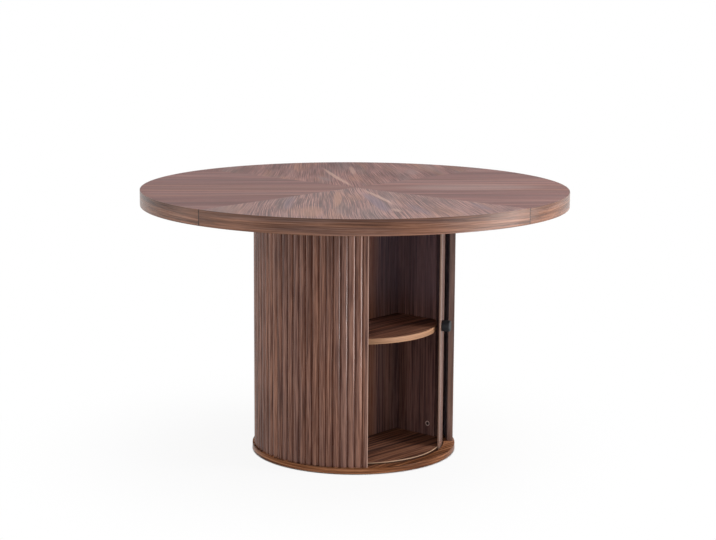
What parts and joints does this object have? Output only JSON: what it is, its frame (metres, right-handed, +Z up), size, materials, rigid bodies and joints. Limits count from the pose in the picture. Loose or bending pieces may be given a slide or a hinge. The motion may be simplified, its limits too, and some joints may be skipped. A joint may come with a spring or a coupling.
{
  "type": "round dining table with drum cabinet",
  "caption": "Round walnut-veneered table on a reeded drum cabinet, with a shelf inside and a curved door that slides round the drum's axis.",
  "frame": {"origin": "bottom centre, on the floor under the drum's axis", "axes": "+Z up along the table's axis, -Y is the cabinet's open side, +X to the right seen from there"},
  "size_m": [1.2, 1.2, 0.75],
  "materials": {
    "walnut_veneer": "satin lacquered walnut veneer",
    "walnut_edge_band": "satin walnut edge band with level grain",
    "walnut_board": "walnut faced board",
    "walnut_panel": "walnut faced board, matt",
    "walnut_slats": "satin lacquered walnut, tone varying from slat to slat",
    "walnut_door": "satin lacquered walnut",
    "light_edge_band": "light tan edge band",
    "particle_board": "raw particle board",
    "backing_veneer": "unpolished veneer",
    "beech_dowel": "beech",
    "nylon": "dark nylon",
    "black_lacquer": "black satin",
    "zinc_casting": "zinc casting",
    "steel_fixing": "zinc plated steel"
  },
  "bodies": {
    "table": {"bolt_washers": "steel_fixing", "cam_bolts": "steel_fixing", "cam_locks": "zinc_casting", "cap_board": "walnut_board", "cap_edge_band": "walnut_edge_band", "carcass_dowels": "beech_dowel", "carcass_screws": "steel_fixing", "ceiling_edge_band": "light_edge_band", "ceiling_panel": "walnut_panel", "centre_panel": "walnut_panel", "edge_band_back_left": "walnut_edge_band", "edge_band_back_right": "walnut_edge_band", "edge_band_front_left": "walnut_edge_band", "edge_band_front_right": "walnut_edge_band", "floor_edge_band": "light_edge_band", "floor_panel": "walnut_panel", "glide_feet": "nylon", "plinth_board": "walnut_board", "plinth_edge_band": "walnut_edge_band", "shelf": "walnut_panel", "shelf_dowels": "beech_dowel", "shelf_edge_band": "light_edge_band", "shell_backing": "walnut_slats", "shell_edge_strips": "walnut_slats", "shell_screws": "steel_fixing", "shell_slats": "walnut_slats", "side_panel_edge_bands": "walnut_edge_band", "side_panel_left": "walnut_panel", "side_panel_right": "walnut_panel", "tabletop_backing_veneer": "backing_veneer", "tabletop_bolts": "steel_fixing", "tabletop_core": "particle_board", "threaded_inserts": "steel_fixing", "veneer_back_left": "walnut_veneer", "veneer_back_right": "walnut_veneer", "veneer_front_left": "walnut_veneer", "veneer_front_right": "walnut_veneer"},
    "door": {"door_guides": "nylon", "door_knob": "black_lacquer", "door_knob_screw": "steel_fixing", "door_panel": "walnut_door", "door_slats": "walnut_door", "door_stile": "walnut_door", "door_tail_stile": "walnut_door"}
  },
  "joints": [
    {"name": "door_slide_round", "type": "hinge", "parent": "table", "child": "door", "pos_m": [0, 0, 0], "axis": [0, 0, 1], "range_deg": [-64.7, 9.2]}
  ]
}
